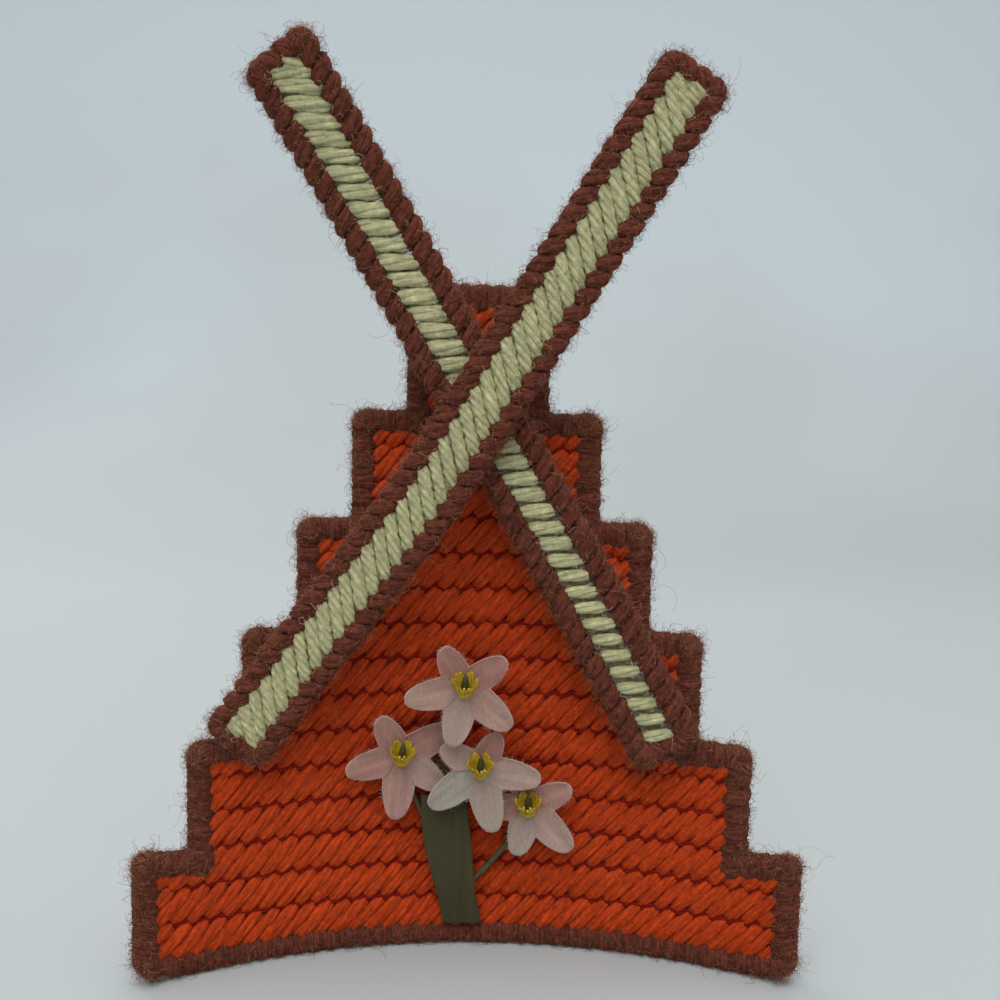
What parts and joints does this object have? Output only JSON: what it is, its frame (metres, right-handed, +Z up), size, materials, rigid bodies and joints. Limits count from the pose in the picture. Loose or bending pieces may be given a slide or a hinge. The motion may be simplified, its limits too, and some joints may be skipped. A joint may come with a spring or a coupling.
{
  "type": "plastic canvas windmill decoration",
  "caption": "Free-standing stepped yarn-work tower panel, bent upright, with crossed strap sails and a spray of small artificial flowers.",
  "frame": {"origin": "on the table under the middle of the base, level with the base edging's flat underside and on the canvas's middle surface", "axes": "+Z up, -Y out of the worked face towards the viewer, +X to the viewer's right"},
  "size_m": [0.1324, 0.0307, 0.1809],
  "materials": {
    "orange_yarn": "twisted worsted acrylic yarn, slightly fuzzy",
    "brown_yarn": "twisted worsted acrylic yarn, slightly fuzzy",
    "cream_yarn": "twisted worsted acrylic yarn, slightly fuzzy",
    "canvas": "clear moulded plastic mesh",
    "glue": "set hot-melt glue",
    "petal": "pressed polyester cloth with frayed edges",
    "cup": "flocked and fringed",
    "stem": "plastic-coated wire",
    "leaf": "woven ribbon, cut end"
  },
  "bodies": {
    "root": {"tower_stitches_01": "orange_yarn", "tower_stitches_02": "orange_yarn", "tower_stitches_03": "orange_yarn", "tower_stitches_04": "orange_yarn", "tower_stitches_05": "orange_yarn", "tower_stitches_06": "orange_yarn", "tower_stitches_07": "orange_yarn", "tower_stitches_08": "orange_yarn", "tower_stitches_09": "orange_yarn", "tower_stitches_10": "orange_yarn", "tower_stitches_11": "orange_yarn", "tower_stitches_12": "orange_yarn", "tower_stitches_13": "orange_yarn", "tower_stitches_14": "orange_yarn", "tower_stitches_15": "orange_yarn", "tower_stitches_16": "orange_yarn", "tower_stitches_17": "orange_yarn", "tower_stitches_18": "orange_yarn", "tower_back_stitches": "orange_yarn", "base_edging": "brown_yarn", "left_edging": "brown_yarn", "right_edging": "brown_yarn", "top_edging": "brown_yarn", "rear_sail_edging": "brown_yarn", "front_sail_edging": "brown_yarn", "rear_sail_stitches": "cream_yarn", "rear_sail_back_stitches": "cream_yarn", "front_sail_stitches": "cream_yarn", "front_sail_back_stitches": "cream_yarn", "tower_canvas": "canvas", "rear_sail_canvas": "canvas", "front_sail_canvas": "canvas", "rear_sail_glue": "glue", "front_sail_glue": "glue", "hub_glue": "glue", "bouquet_glue": "glue", "upper_corolla": "petal", "upper_cup": "cup", "upper_pistil": "stem", "upper_stem": "stem", "left_corolla": "petal", "left_cup": "cup", "left_pistil": "stem", "left_stem": "stem", "middle_corolla": "petal", "middle_cup": "cup", "middle_pistil": "stem", "middle_stem": "stem", "right_corolla": "petal", "right_cup": "cup", "right_pistil": "stem", "right_stem": "stem", "leaf": "leaf"}
  },
  "joints": []
}
